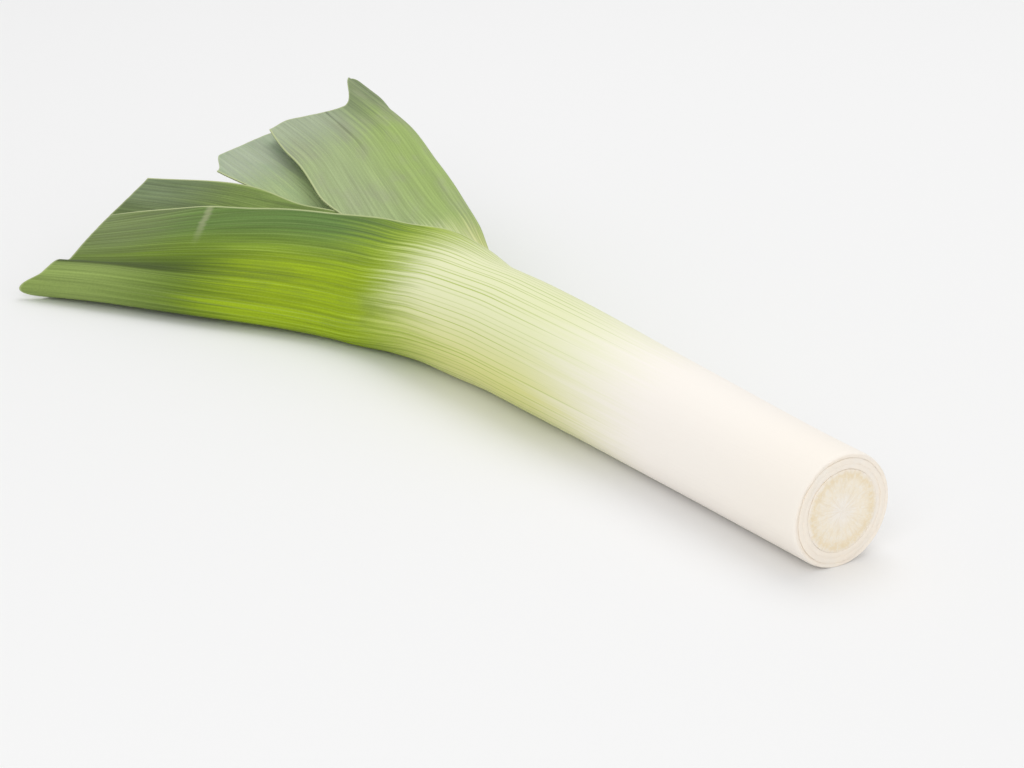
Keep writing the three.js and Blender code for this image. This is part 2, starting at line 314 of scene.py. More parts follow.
def leaf_middle(leaf, d, q):
    """Sideways place and height of the middle of a leaf's thickness, and the width of its half."""
    keys = [list(key) for key in leaf["keys"]]
    split = keys[0][0]
    radius = shaft_radius(d) * leaf["share"] - wall_thickness(leaf, d, q) / 2 - cut_rounding(leaf, d)
    throat_width = math.pi * (float(shaft_radius(split)) * leaf["share"] - WALL / 2)
    keys[0][5] = throat_width
    keys[0][6] = throat_width
    curves = [keyed(keys, column, d) for column in range(1, 8)]
    out, rise, near_angle, far_angle, near_width, far_width, opened = curves
    opened = np.clip(opened, 0.0, 1.0)
    near = q >= 0
    sign = np.where(near, 1.0, -1.0)
    width = np.where(d <= split, math.pi * radius, np.where(near, near_width, far_width))
    angle = np.where(near, near_angle, far_angle)
    middle = (near_angle + far_angle) / 2
    length = np.abs(q) * width
    inward = np.zeros_like(d)
    upward = np.zeros_like(d)
    for i in range(ARC_STEPS):
        s = (i + 0.5) * length / ARC_STEPS
        tube = sign * (90 - np.degrees(s / radius)) - leaf["row"] * math.degrees(ROLL)
        blade = angle + (middle + sign * 90 - angle) * np.exp(-s / FOLD)
        if leaf["valley"]:
            across = np.exp(-((s / width - VALLEY_SHARE) / VALLEY_WIDTH) ** 2)
            dip = across * smooth((d - VALLEY_START) / VALLEY_LENGTH)
            blade = blade - np.where(near, leaf["valley"] * dip, 0.0)
        if leaf["lip"]:
            curl = np.exp(-(s / LIP_WIDTH) ** 2) * smooth((d - LIP_START) / LIP_LENGTH)
            blade = blade - np.where(near, 0.0, leaf["lip"] * curl)
        a = np.radians(between(tube, blade, opened))
        inward += np.cos(a) * length / ARC_STEPS
        upward += np.sin(a) * length / ARC_STEPS
    y = shaft_y(d) + leaf["row"] * (radius * math.cos(ROLL) + out - inward)
    z = shaft_z(d) + leaf["row"] * radius * math.sin(ROLL) + rise + upward

    # What would lie under the surface is laid on it, with a soft bend
    free = smooth(FREEING * opened)
    floor = between(WALL / 2 - SINK, FLOOR, free)
    soft = between(TUBE_SOFTNESS, BLADE_SOFTNESS, free)
    above = z - floor
    settled = floor + np.where(above < -soft, 0.0, (above + soft) ** 2 / (4 * soft))
    return y, np.where(above > soft, z, settled), width


def trimmed_end(leaf, q):
    """Distance of a leaf's cut end: a line from the keel over a peak beside it to the margin."""
    keel, beside, margin = leaf["ends"]
    t = np.abs(q)
    rounded = leaf["corner"] * smooth((t - (1 - MARGIN_BAND)) / MARGIN_BAND)
    to_margin = smooth((t - leaf["peak"]) / (1 - leaf["peak"]))
    return keel + (beside - keel) * smooth(t / leaf["peak"]) + (margin - beside) * to_margin - rounded


def deselect():
    if bpy.context.object and bpy.context.object.mode != "OBJECT":
        bpy.ops.object.mode_set(mode="OBJECT")
    bpy.ops.object.select_all(action="DESELECT")


def grid_piece(name, columns, rows):
    """A flat grid of quads with its points' shares across and along, ready to be shaped."""
    deselect()
    bpy.ops.mesh.primitive_grid_add(x_subdivisions=columns, y_subdivisions=rows, size=2)
    piece = bpy.context.object
    piece.name = name
    piece.data.name = name
    flat = read_points(piece)
    return piece, flat[:, 0], (flat[:, 1] + 1) / 2


def read_points(piece, field="co"):
    values = np.zeros(len(piece.data.vertices) * 3)
    piece.data.vertices.foreach_get(field, values)
    return values.reshape(-1, 3)


def set_points(piece, points):
    piece.data.vertices.foreach_set("co", np.asarray(points, np.float32).ravel())
    piece.data.update()


def point_value(piece, name, values):
    layer = piece.data.attributes.new(name, "FLOAT", "POINT")
    layer.data.foreach_set("value", np.asarray(values, np.float32))


def read_value(piece, name):
    values = np.zeros(len(piece.data.vertices))
    piece.data.attributes[name].data.foreach_get("value", values)
    return values


def set_uv(piece, across, along):
    """The UV map holds metres across and along the leaf, so that a pattern follows its veins."""
    corner = np.zeros(len(piece.data.loops), np.int32)
    piece.data.loops.foreach_get("vertex_index", corner)
    uv = np.stack([across[corner], along[corner]], axis=-1)
    piece.data.uv_layers[0].name = "veins"
    piece.data.uv_layers[0].data.foreach_set("uv", uv.astype(np.float32).ravel())


def choose_faces(piece, wanted):
    """Selects only the faces that pass, and leaves the piece in edit mode."""
    mesh = piece.data
    mesh.vertices.foreach_set("select", [False] * len(mesh.vertices))
    mesh.edges.foreach_set("select", [False] * len(mesh.edges))
    for face in mesh.polygons:
        face.select = wanted(face)
    bpy.context.tool_settings.mesh_select_mode = (False, False, True)
    bpy.ops.object.mode_set(mode="EDIT")


def merge_seam(piece, chosen):
    """Merges the doubled points of a seam or a pole."""
    mesh = piece.data
    mesh.polygons.foreach_set("select", [False] * len(mesh.polygons))
    mesh.edges.foreach_set("select", [False] * len(mesh.edges))
    mesh.vertices.foreach_set("select", chosen)
    bpy.context.tool_settings.mesh_select_mode = (True, False, False)
    bpy.ops.object.mode_set(mode="EDIT")
    bpy.ops.mesh.remove_doubles(threshold=MERGE_REACH)
    bpy.ops.object.mode_set(mode="OBJECT")


def apply_modifiers(piece):
    bpy.context.view_layer.objects.active = piece
    for modifier in list(piece.modifiers):
        bpy.ops.object.modifier_apply(modifier=modifier.name)


def cut_line(leaf, q):
    """How far each place of a cut sheath falls short of the flat cut, the same on both sides of the seam."""
    if leaf["start"] > 0:
        return np.zeros_like(q)
    turn = np.pi * q
    seed = leaf["share"] * 51
    rough = [noise.noise((CUT_WAVES * math.cos(a), CUT_WAVES * math.sin(a), seed)) for a in turn]
    fine = [noise.noise((CUT_RAGS * math.cos(a), CUT_RAGS * math.sin(a), seed)) for a in turn]
    return CUT_UNEVEN * np.clip(0.5 + np.array(rough) + 0.5 * np.array(fine), 0.0, 1.0)


def leaf_relief(leaf, d, side):
    """Outward relief of a leaf in millimetres: narrow ribs, and the slack of the skin between them."""
    split = leaf["keys"][0][0]
    opened = smooth((d - split) / RELIEF_GROWTH)
    seed = leaf["share"] * 37
    relief = np.zeros_like(d)
    for i in range(len(d)):
        rib = noise.noise((side[i] / RIB_WIDTH, d[i] / RIB_LENGTH, seed))
        slack = noise.noise((side[i] / SLACK_WIDTH, d[i] / SLACK_LENGTH, seed + 9))
        rib_height = RIB_HEIGHT + RIB_GAIN * opened[i]
        slack_height = SLACK_HEIGHT + SLACK_GAIN * opened[i]
        relief[i] = rib_height * rib + slack_height * slack
    return relief


def leaf_sheet(leaf):
    """A leaf as a sheet without thickness, closed to a tube as far as the throat."""
    rows = SHEATH_ROWS + leaf["blade_rows"]
    piece, across, along = grid_piece(leaf["name"] + "_skin", leaf["columns"], rows)
    split = leaf["keys"][0][0]
    q = across - MARGIN_CROWDING * np.sin(2 * np.pi * across) / (2 * np.pi)
    row = np.rint(along * rows)
    end = trimmed_end(leaf, q)
    cut = leaf["start"] + cut_line(leaf, q)
    sheath = cut + (split - cut) * (row / SHEATH_ROWS) ** ROW_CROWDING
    blade = split + (end - split) * (row - SHEATH_ROWS) / leaf["blade_rows"]
    d = np.where(row <= SHEATH_ROWS, sheath, blade)
    y, z, width = leaf_middle(leaf, d, q)
    set_points(piece, place(d, y, z))
    set_uv(piece, q * width / 1000, d / 1000)
    point_value(piece, "share", q)
    point_value(piece, "along", d)
    from_margin = between(FAR_FROM_EDGE, (1 - np.abs(q)) * width, smooth((d - split) / MARGIN_OPENS))
    point_value(piece, "margin", from_margin)
    point_value(piece, "trim", end - d)
    at_side = (across < -EDGE_OF_GRID) | (across > EDGE_OF_GRID)
    merge_seam(piece, (row <= SHEATH_ROWS) & at_side)
    return piece


def add_relief(leaf, piece, d, q):
    """Moves each point along the leaf's own normal, except at the seam, the root cut and the surface."""
    split = leaf["keys"][0][0]
    points = read_points(piece)
    normals = read_points(piece, "normal")
    width = leaf_middle(leaf, d, q)[2]
    relief = leaf_relief(leaf, d, q * width)
    beside_seam = smooth((1 - np.abs(q)) / SEAM_CALM)
    relief *= between(beside_seam, 1.0, smooth((d - split) / SEAM_LENGTH))
    above = smooth((points[:, 2] - LOW_CALM_FROM) / LOW_CALM_HEIGHT)
    relief *= smooth(d / CUT_CALM) * above
    set_points(piece, points + normals * relief[:, None] / 1000)


def thicken(leaf, piece, d, q):
    """Gives the sheet its wall, which is thickest at the cut root end, and rounds its rims."""
    wall = wall_thickness(leaf, d, q)
    thickest = float(wall.max())
    group = piece.vertex_groups.new(name="wall")
    for i, weight in enumerate(wall / thickest):
        group.add([i], float(weight), "REPLACE")
    solid = piece.modifiers.new("wall", "SOLIDIFY")
    solid.thickness = thickest / 1000
    solid.offset = 0
    solid.use_even_offset = True
    solid.vertex_group = "wall"
    rounded = piece.modifiers.new("rounded_rim", "BEVEL")
    rounded.limit_method = "ANGLE"
    rounded.angle_limit = math.radians(60)
    rounded.width = RIM_BEVEL
    rounded.segments = 2
    apply_modifiers(piece)
    points = read_points(piece)
    points[:, 2] = np.maximum(points[:, 2], 0.0)
    set_points(piece, points)


def make_leaf(leaf):
    piece = leaf_sheet(leaf)
    q = read_value(piece, "share")
    d = read_value(piece, "along")
    add_relief(leaf, piece, d, q)
    thicken(leaf, piece, d, q)
    deselect()
    piece.select_set(True)
    bpy.context.view_layer.objects.active = piece
    bpy.ops.object.shade_smooth_by_angle(angle=math.radians(45))
    return piece


def make_heart():
    """The rolled heart, a closed spindle."""
    piece, across, along = grid_piece("heart_leaf_skin", HEART_COLUMNS, HEART_ROWS)
    turn = across * np.pi
    d = INNER_START + (HEART_END - INNER_START) * along
    t = np.clip((d - HEART_NARROWS) / (HEART_END - HEART_NARROWS), 0.0, 1.0)
    narrowing = np.sqrt(np.maximum(0.0, 1 - t ** HEART_BLUNTNESS))
    radius = shaft_radius(np.minimum(d, HEART_END)) * HEART_SHARE * narrowing
    at_pole = (along < 1e-6) | (along > 1 - 1e-6)
    radius = np.where(at_pole, 0.0, radius)
    y = shaft_y(d) + radius * np.cos(turn)
    z = shaft_z(d) + radius * np.sin(turn)
    set_points(piece, place(d, y, z))
    set_uv(piece, across * np.pi * ROOT_RADIUS * HEART_SHARE / 1000, d / 1000)
    point_value(piece, "margin", np.full(len(d), FAR_FROM_EDGE))
    point_value(piece, "trim", np.full(len(d), FAR_FROM_EDGE))
    merge_seam(piece, np.full(len(d), True))
    bpy.ops.object.mode_set(mode="EDIT")
    bpy.ops.mesh.select_all(action="SELECT")
    bpy.ops.mesh.normals_make_consistent(inside=False)
    bpy.ops.object.mode_set(mode="OBJECT")
    bpy.ops.object.shade_smooth()
    return piece


def make_plate():
    """The basal plate, cut flat, with the stubs of the roots and the ends of the fibres in its face."""
    deselect()
    middle = PLATE_HEIGHT / 2
    centre = Vector(place(np.array(middle), np.array(0.0), shaft_z(np.array(0.0))))
    bpy.ops.mesh.primitive_cylinder_add(
        vertices=PLATE_SIDES, radius=PLATE_RADIUS / 1000, depth=PLATE_HEIGHT / 1000,
        location=centre, rotation=(0, math.pi / 2, 0),
    )
    plate = bpy.context.object
    plate.name = "basal_plate_cut"
    plate.data.name = "basal_plate_cut"
    bpy.ops.object.transform_apply(location=True, rotation=True, scale=True)
    choose_faces(plate, lambda face: face.normal.x > 0.9)
    for i in range(PLATE_RINGS):
        bpy.ops.mesh.inset(thickness=PLATE_RADIUS / 1000 / (PLATE_RINGS + 1), depth=0.0)
    bpy.ops.mesh.poke()
    bpy.ops.object.mode_set(mode="OBJECT")

    # Fibres and root stubs stand a little proud of the cut, which is hollowed towards its middle
    face_x = centre.x + middle / 1000
    for point in plate.data.vertices:
        if point.co.x < face_x - 0.0001:
            continue
        r = math.hypot(point.co.y - centre.y, point.co.z - centre.z) * 1000
        y = point.co.y * 1000
        z = point.co.z * 1000
        stub = noise.voronoi((y / STUB_SPACING, z / STUB_SPACING, 4.0))[0][0]
        inside = float(smooth((PLATE_RADIUS - r) / CALM_RIM))
        height = -PLATE_HOLLOW * (1 - (r / PLATE_RADIUS) ** 2)
        height += STUB_HEIGHT * inside * max(0.0, STUB_REACH - stub)
        height += FIBRE_HEIGHT * inside * noise.noise((y / FIBRE_SPACING, z / FIBRE_SPACING, 1.0))
        height -= RIM_DROP * float(smooth((r - PLATE_RADIUS + RIM_DROP_WIDTH) / RIM_DROP_WIDTH))
        point.co.x += height / 1000
    bpy.ops.object.shade_smooth_by_angle(angle=math.radians(50))
    return plate, centre


# Finishes

def srgb(red, green, blue):
    """A colour as seen, 0 to 255, as the shader's own linear colour."""
    def linear(c):
        c = c / 255
        return c / 12.92 if c <= 0.04045 else ((c + 0.055) / 1.055) ** 2.4
    return (linear(red), linear(green), linear(blue), 1.0)


def fill_inputs(made, tree, inputs):
    """Links each input to a socket, or gives it a value of its own."""
    for key, value in inputs.items():
        if isinstance(value, bpy.types.NodeSocket):
            tree.links.new(value, made.inputs[key])
        else:
            made.inputs[key].default_value = value


def add_node(tree, kind, inputs=None, **settings):
    made = tree.nodes.new(kind)
    for name, value in settings.items():
        setattr(made, name, value)
    fill_inputs(made, tree, inputs or {})
    return made


def maths(tree, operation, a, b=0.0):
    return add_node(tree, "ShaderNodeMath", {0: a, 1: b}, operation=operation).outputs[0]


def times(tree, a, b):
    return maths(tree, "MULTIPLY", a, b)


def plus(tree, a, b):
    return maths(tree, "ADD", a, b)


def minus(tree, a, b):
    return maths(tree, "SUBTRACT", a, b)


def rise(tree, value, low, high, from_value=0.0, to_value=1.0):
    """Smooth change of a value from one end of a range to the other."""
    made = add_node(tree, "ShaderNodeMapRange", {0: value, 1: low, 2: high, 3: from_value, 4: to_value},
                    interpolation_type="SMOOTHSTEP")
    return made.outputs[0]


def mixed(tree, factor, a, b):
    made = add_node(tree, "ShaderNodeMix", {0: factor, 6: a, 7: b}, data_type="RGBA")
    return made.outputs[2]


def point_of(tree, x, y, z=0.0):
    return add_node(tree, "ShaderNodeCombineXYZ", {0: x, 1: y, 2: z}).outputs[0]


def noise_of(tree, point, scale, detail, roughness=0.5):
    inputs = {"Vector": point, "Scale": scale, "Detail": detail, "Roughness": roughness}
    return add_node(tree, "ShaderNodeTexNoise", inputs).outputs[0]


def new_finish(name):
    material = bpy.data.materials.new(name)
    material.use_nodes = True
    return material, material.node_tree, material.node_tree.nodes["Principled BSDF"]


def new_group(name, inputs, outputs):
    """A node group whose inputs and outputs are all numbers."""
    group = bpy.data.node_groups.new(name, "ShaderNodeTree")
    for label, value in inputs.items():
        socket = group.interface.new_socket(name=label, in_out="INPUT", socket_type="NodeSocketFloat")
        socket.default_value = value
    for label in outputs:
        group.interface.new_socket(name=label, in_out="OUTPUT", socket_type="NodeSocketFloat")
    return group, group.nodes.new("NodeGroupInput"), group.nodes.new("NodeGroupOutput")


def place_group(tree, group, inputs):
    made = tree.nodes.new("ShaderNodeGroup")
    made.node_tree = group
    fill_inputs(made, tree, inputs)
    return made


def veins_group():
    """Veins that run along a leaf: separate green lines, fine grain between them, and their relief."""
    group, start, end = new_group(
        "leaf_veins",
        {"Spacing": 3.0, "Line Start": 120.0, "Start Spread": 40.0},
        ["Lines", "Grain", "Streaks", "Height"],
    )
    uv = add_node(group, "ShaderNodeUVMap", uv_map="veins").outputs[0]
    split = add_node(group, "ShaderNodeSeparateXYZ", {0: uv})
    across = times(group, split.outputs[0], 1000.0)
    along = times(group, split.outputs[1], 1000.0)

    # The lines sway a little, and each has its own start, width and strength
    sway = noise_of(group, point_of(group, times(group, across, 0.1), times(group, along, 0.004)), 1.0, 1.0)
    shifted = plus(group, across, times(group, sway, 1.6))
    cells = add_node(group, "ShaderNodeTexVoronoi", {
        "W": maths(group, "DIVIDE", shifted, start.outputs["Spacing"]),
        "Scale": 1.0,
        "Randomness": 0.55,
    }, voronoi_dimensions="1D", feature="F1")
    chance = add_node(group, "ShaderNodeSeparateColor", {0: cells.outputs["Color"]})
    later = times(group, start.outputs["Start Spread"], chance.outputs[0])
    past_start = minus(group, along, plus(group, start.outputs["Line Start"], later))
    wide = plus(group, 0.06, times(group, chance.outputs[1], 0.08))
    widening = plus(group, 0.6, times(group, rise(group, past_start, 0.0, 70.0), 0.4))
    reach = times(group, wide, widening)
    core = rise(group, maths(group, "DIVIDE", cells.outputs["Distance"], reach), 0.3, 1.7, 1.0, 0.0)
    shown = rise(group, past_start, 0.0, 50.0)
    strength = plus(group, 0.35, times(group, chance.outputs[2], 0.65))
    lines = times(group, times(group, core, shown), strength)

    # Fine grain and broader streaks, both drawn out along the leaf
    fine = point_of(group, shifted, times(group, along, 0.012))
    grain = noise_of(group, fine, 1.0, 3.0, 0.6)
    broad = point_of(group, times(group, shifted, 0.42), times(group, along, 0.009), 7.0)
    streaks = noise_of(group, broad, 1.0, 4.0, 0.65)
    ridge = minus(group, times(group, grain, 0.6), times(group, lines, 0.25))
    group.links.new(lines, end.inputs["Lines"])
    group.links.new(grain, end.inputs["Grain"])
    group.links.new(streaks, end.inputs["Streaks"])
    group.links.new(ridge, end.inputs["Height"])
    return group


def edges_group():
    """Pale rim of a leaf's margins and the paler, drier edge of its trimmed end and root cut."""
    group, start, end = new_group(
        "leaf_edges", {"Rim Width": 0.7, "Trim Width": 0.8}, ["Rim", "Trim", "Root Cut"],
    )
    margin = add_node(group, "ShaderNodeAttribute", attribute_name="margin").outputs["Fac"]
    trim = add_node(group, "ShaderNodeAttribute", attribute_name="trim").outputs["Fac"]
    uv = add_node(group, "ShaderNodeUVMap", uv_map="veins").outputs[0]
    along = add_node(group, "ShaderNodeSeparateXYZ", {0: uv}).outputs[1]
    rim = rise(group, maths(group, "DIVIDE", margin, start.outputs["Rim Width"]), 0.5, 1.3, 1.0, 0.0)
    cut = rise(group, maths(group, "DIVIDE", trim, start.outputs["Trim Width"]), 0.3, 1.3, 1.0, 0.0)
    root = rise(group, along, 0.0001, 0.0007, 1.0, 0.0)
    group.links.new(rim, end.inputs["Rim"])
    group.links.new(cut, end.inputs["Trim"])
    group.links.new(root, end.inputs["Root Cut"])
    return group


ROOT_WHITE = srgb(251, 245, 237)
ROOT_WARM = srgb(251, 244, 234)
CUT_CREAM = srgb(253, 243, 229)
THROAT_PALE = srgb(232, 235, 190)
# Yellower low side of the sheath: partly the skin's own tint, partly painted shade and a painted green
# reflection
THROAT_LOW_TINT_AND_SHADE = srgb(220, 220, 144)
LINE_GREEN = srgb(172, 192, 78)
VEIN_PALE = srgb(176, 194, 120)
# Paler strip beside the first left leaf's keel: partly its own olive-grey tone, partly painted light on its
# upturned face
STRIP_TONE_AND_PAINTED_LIGHT = srgb(146, 166, 92)
RIM_PALE = srgb(196, 206, 152)
SCAR_PALE = srgb(184, 184, 150)
PLATE_PALE = srgb(254, 247, 237)
PLATE_CREAM = srgb(252, 241, 220)
PLATE_TAN = srgb(246, 229, 196)
PLATE_SPECK = srgb(254, 248, 238)
PLATE_FIBRE = srgb(238, 219, 184)

# A pale scar across the first left leaf leans towards the root as it leaves the margin
SCAR_SLANT = 25.0


def leaf_places(tree, look, vein):
    """Where a point lies on its leaf: share across, distance along, and a distance frayed by the veins."""
    uv = add_node(tree, "ShaderNodeUVMap", uv_map="veins").outputs[0]
    parts = add_node(tree, "ShaderNodeSeparateXYZ", {0: uv})
    share = maths(tree, "DIVIDE", times(tree, parts.outputs[0], 1000.0), look["half_width"])
    along = times(tree, parts.outputs[1], 1000.0)
    wander = times(tree, minus(tree, vein.outputs["Streaks"], 0.5), look["raggedness"])
    fray = times(tree, minus(tree, vein.outputs["Grain"], 0.5), look["raggedness"])
    return {
        "uv": uv,
        "share": share,
        "aside": maths(tree, "ABSOLUTE", share),
        "along": along,
        "wander": wander,
        "frayed": plus(tree, along, plus(tree, wander, fray)),
    }


def sheath_colour(tree, spot, look, vein):
    """White, then pale green between green lines, yellower low on its side: partly the skin's own tint, partly
    painted shade and a painted green reflection.
    """
    start = look["line_start"]
    # Towards the keel the colour turns yellower: partly the skin's own tint, partly painted shade and a painted
    # green reflection
    side = mixed(tree, rise(tree, spot["aside"], 0.0, 0.45), THROAT_LOW_TINT_AND_SHADE, THROAT_PALE)
    white = mixed(tree, rise(tree, spot["along"], 0.0, 60.0), ROOT_WARM, ROOT_WHITE)
    ground = mixed(tree, rise(tree, spot["frayed"], start - 15, start + 70), white, side)
    return mixed(tree, times(tree, vein.outputs["Lines"], 0.85), ground, LINE_GREEN)


def greening(tree, spot, look):
    """How green a place is. The change starts earlier at the keel and beside the margin."""
    at_keel = rise(tree, spot["aside"], 0.07, 0.42, look["keel_lead"], 0.0)
    at_margin = rise(tree, spot["aside"], 0.6, 0.95, 0.0, look["margin_lead"])
    start = look["green_start"]
    first = minus(tree, start, plus(tree, at_keel, at_margin))
    return rise(tree, spot["frayed"], first, start + look["green_length"])


def blade_colour(tree, spot, look, vein):
    """Bright at first, darker towards the margin, duller with age towards its end, with pale veins."""
    aside = spot["aside"]
    frayed = spot["frayed"]
    upper_start = look["green_start"] + look["upper_delay"]
    upper = times(tree, rise(tree, aside, look["upper_from"], look["upper_to"]),
                  rise(tree, frayed, upper_start, upper_start + 45))
    young = mixed(tree, upper, look["bright"], look["upper"])
    ageing = times(tree, rise(tree, frayed, look["mature"], look["mature"] + 45),
                   minus(tree, 1.0, times(tree, upper, look["upper_kept"])))
    mature = mixed(tree, ageing, young, look["middle"])
    outer = times(tree, rise(tree, aside, look["tip_share"], look["tip_share"] + 0.4),
                  rise(tree, frayed, look["tip_start"], look["tip_start"] + 40))
    aged = mixed(tree, outer, mature, look["tip"])
    blotch = point_of(tree, times(tree, spot["share"], 5.0), times(tree, spot["along"], 0.035), look["seed"])
    patches = rise(tree, noise_of(tree, blotch, 1.0, 3.0, 0.6), 0.45, 0.75, 0.0, look["patchiness"])
    blotched = mixed(tree, patches, aged, look["patch"])
    colour = mixed(tree, times(tree, vein.outputs["Lines"], look["pale_veins"]), blotched, VEIN_PALE)
    # The strip below the crease is paler: partly its own olive-grey tone, partly painted light on its upturned
    # face
    if look["crease"]:
        across = rise(tree, spot["share"], look["crease"] - 0.04, look["crease"] + 0.01, 0.8, 0.0)
        strip = times(tree, across, rise(tree, spot["along"], 315.0, 365.0))
        colour = mixed(tree, strip, colour, STRIP_TONE_AND_PAINTED_LIGHT)
    return colour


def blade_shade(tree, spot, look, vein, green):
    """Lengthwise striping of the green part, and painted shade in a crease and along a fold line."""
    streak = rise(tree, vein.outputs["Streaks"], 0.3, 0.7, 1.0 + look["striping"], 1.0 - look["striping"])
    grain = rise(tree, vein.outputs["Grain"], 0.3, 0.7, 1.0 + look["graining"], 1.0 - look["graining"])
    specks = rise(tree, noise_of(tree, spot["uv"], 1300.0, 2.0), 0.3, 0.7, 1.05, 0.95)
    striped = times(tree, streak, times(tree, grain, specks))
    shade = plus(tree, 1.0, times(tree, green, minus(tree, striped, 1.0)))
    # Painted shade: a dark band in the crease just above the paler strip, where the valley lies in shadow
    if look["crease"]:
        above = minus(tree, spot["share"], look["crease"])
        across = times(tree, rise(tree, above, -0.03, 0.01), rise(tree, above, 0.02, 0.20, 0.55, 0.0))
        painted_shade = times(tree, across, rise(tree, spot["along"], 300.0, 345.0))
        shade = times(tree, shade, minus(tree, 1.0, painted_shade))
    # Painted shade: a dark line along a fold of the leaf, where the crease lies in shadow
    if look["fold"]:
        on_leaf = add_node(tree, "ShaderNodeAttribute", attribute_name="share").outputs["Fac"]
        bent = plus(tree, look["fold"], times(tree, spot["wander"], 0.004))
        off_fold = maths(tree, "ABSOLUTE", minus(tree, on_leaf, bent))
        across = rise(tree, off_fold, 0.0, 0.022, 0.42, 0.0)
        painted_shade = times(tree, across, rise(tree, spot["along"], 322.0, 365.0))
        shade = times(tree, shade, minus(tree, 1.0, painted_shade))
    return shade


def with_scar(tree, spot, look, vein, colour):
    line = plus(tree, look["scar"] - SCAR_SLANT, times(tree, spot["share"], SCAR_SLANT))
    wobble = times(tree, minus(tree, vein.outputs["Streaks"], 0.5), 4.0)
    off_line = maths(tree, "ABSOLUTE", minus(tree, plus(tree, spot["along"], wobble), line))
    scar = times(tree, rise(tree, off_line, 0.3, 2.6, 0.42, 0.0), rise(tree, spot["share"], 0.5, 0.8))
    return mixed(tree, scar, colour, SCAR_PALE)


def leaf_finish(name, veins, edges, look):
    """Skin of one leaf: white at the root, pale with green lines towards the throat, then green."""
    material, tree, shader = new_finish(name)
    vein = place_group(tree, veins, {
        "Spacing": look["spacing"],
        "Line Start": look["line_start"],
        "Start Spread": 50.0,
    })
    edge = place_group(tree, edges, {"Rim Width": look["rim_width"], "Trim Width": 0.9})
    spot = leaf_places(tree, look, vein)
    green = greening(tree, spot, look)
    body = mixed(tree, green, sheath_colour(tree, spot, look, vein), blade_colour(tree, spot, look, vein))
    shade = blade_shade(tree, spot, look, vein, green)
    colour = add_node(tree, "ShaderNodeHueSaturation", {"Color": body, "Value": shade}).outputs[0]
    if look["scar"]:
        colour = with_scar(tree, spot, look, vein, colour)
    rimmed = mixed(tree, times(tree, edge.outputs["Rim"], 0.8), colour, RIM_PALE)
    trimmed = mixed(tree, times(tree, edge.outputs["Trim"], 0.5), rimmed, RIM_PALE)
    coloured = mixed(tree, edge.outputs["Root Cut"], trimmed, CUT_CREAM)
    tree.links.new(coloured, shader.inputs["Base Color"])
    rough = plus(tree, 0.38, times(tree, vein.outputs["Grain"], 0.2))
    waxy = plus(tree, rough, times(tree, green, look["wax"]))
    tree.links.new(waxy, shader.inputs["Roughness"])
    relief = {"Height": vein.outputs["Height"], "Strength": 0.6, "Distance": 0.0003}
    tree.links.new(add_node(tree, "ShaderNodeBump", relief).outputs[0], shader.inputs["Normal"])
    shader.inputs["Specular IOR Level"].default_value = 0.22
    return material


# What most leaves have in common. Distances are in millimetres from the cut root end, and a share is
# counted from the keel. A lead is how much earlier the skin turns green. Upper is the part of the blade
# towards its margin, mature is where the blade dulls with age, and tip is its part beside the cut end
PLAIN_LOOK = {
    "keel_lead": 0.0, "margin_lead": 0.0, "pale_veins": 0.15, "spacing": 2.0, "rim_width": 0.6,
    "raggedness": 30.0, "upper_from": 0.0, "upper_to": 0.8, "upper_delay": 0.0, "upper_kept": 0.0,
    "tip_share": 0.2, "wax": 0.03, "crease": 0, "fold": 0, "scar": 0,
}

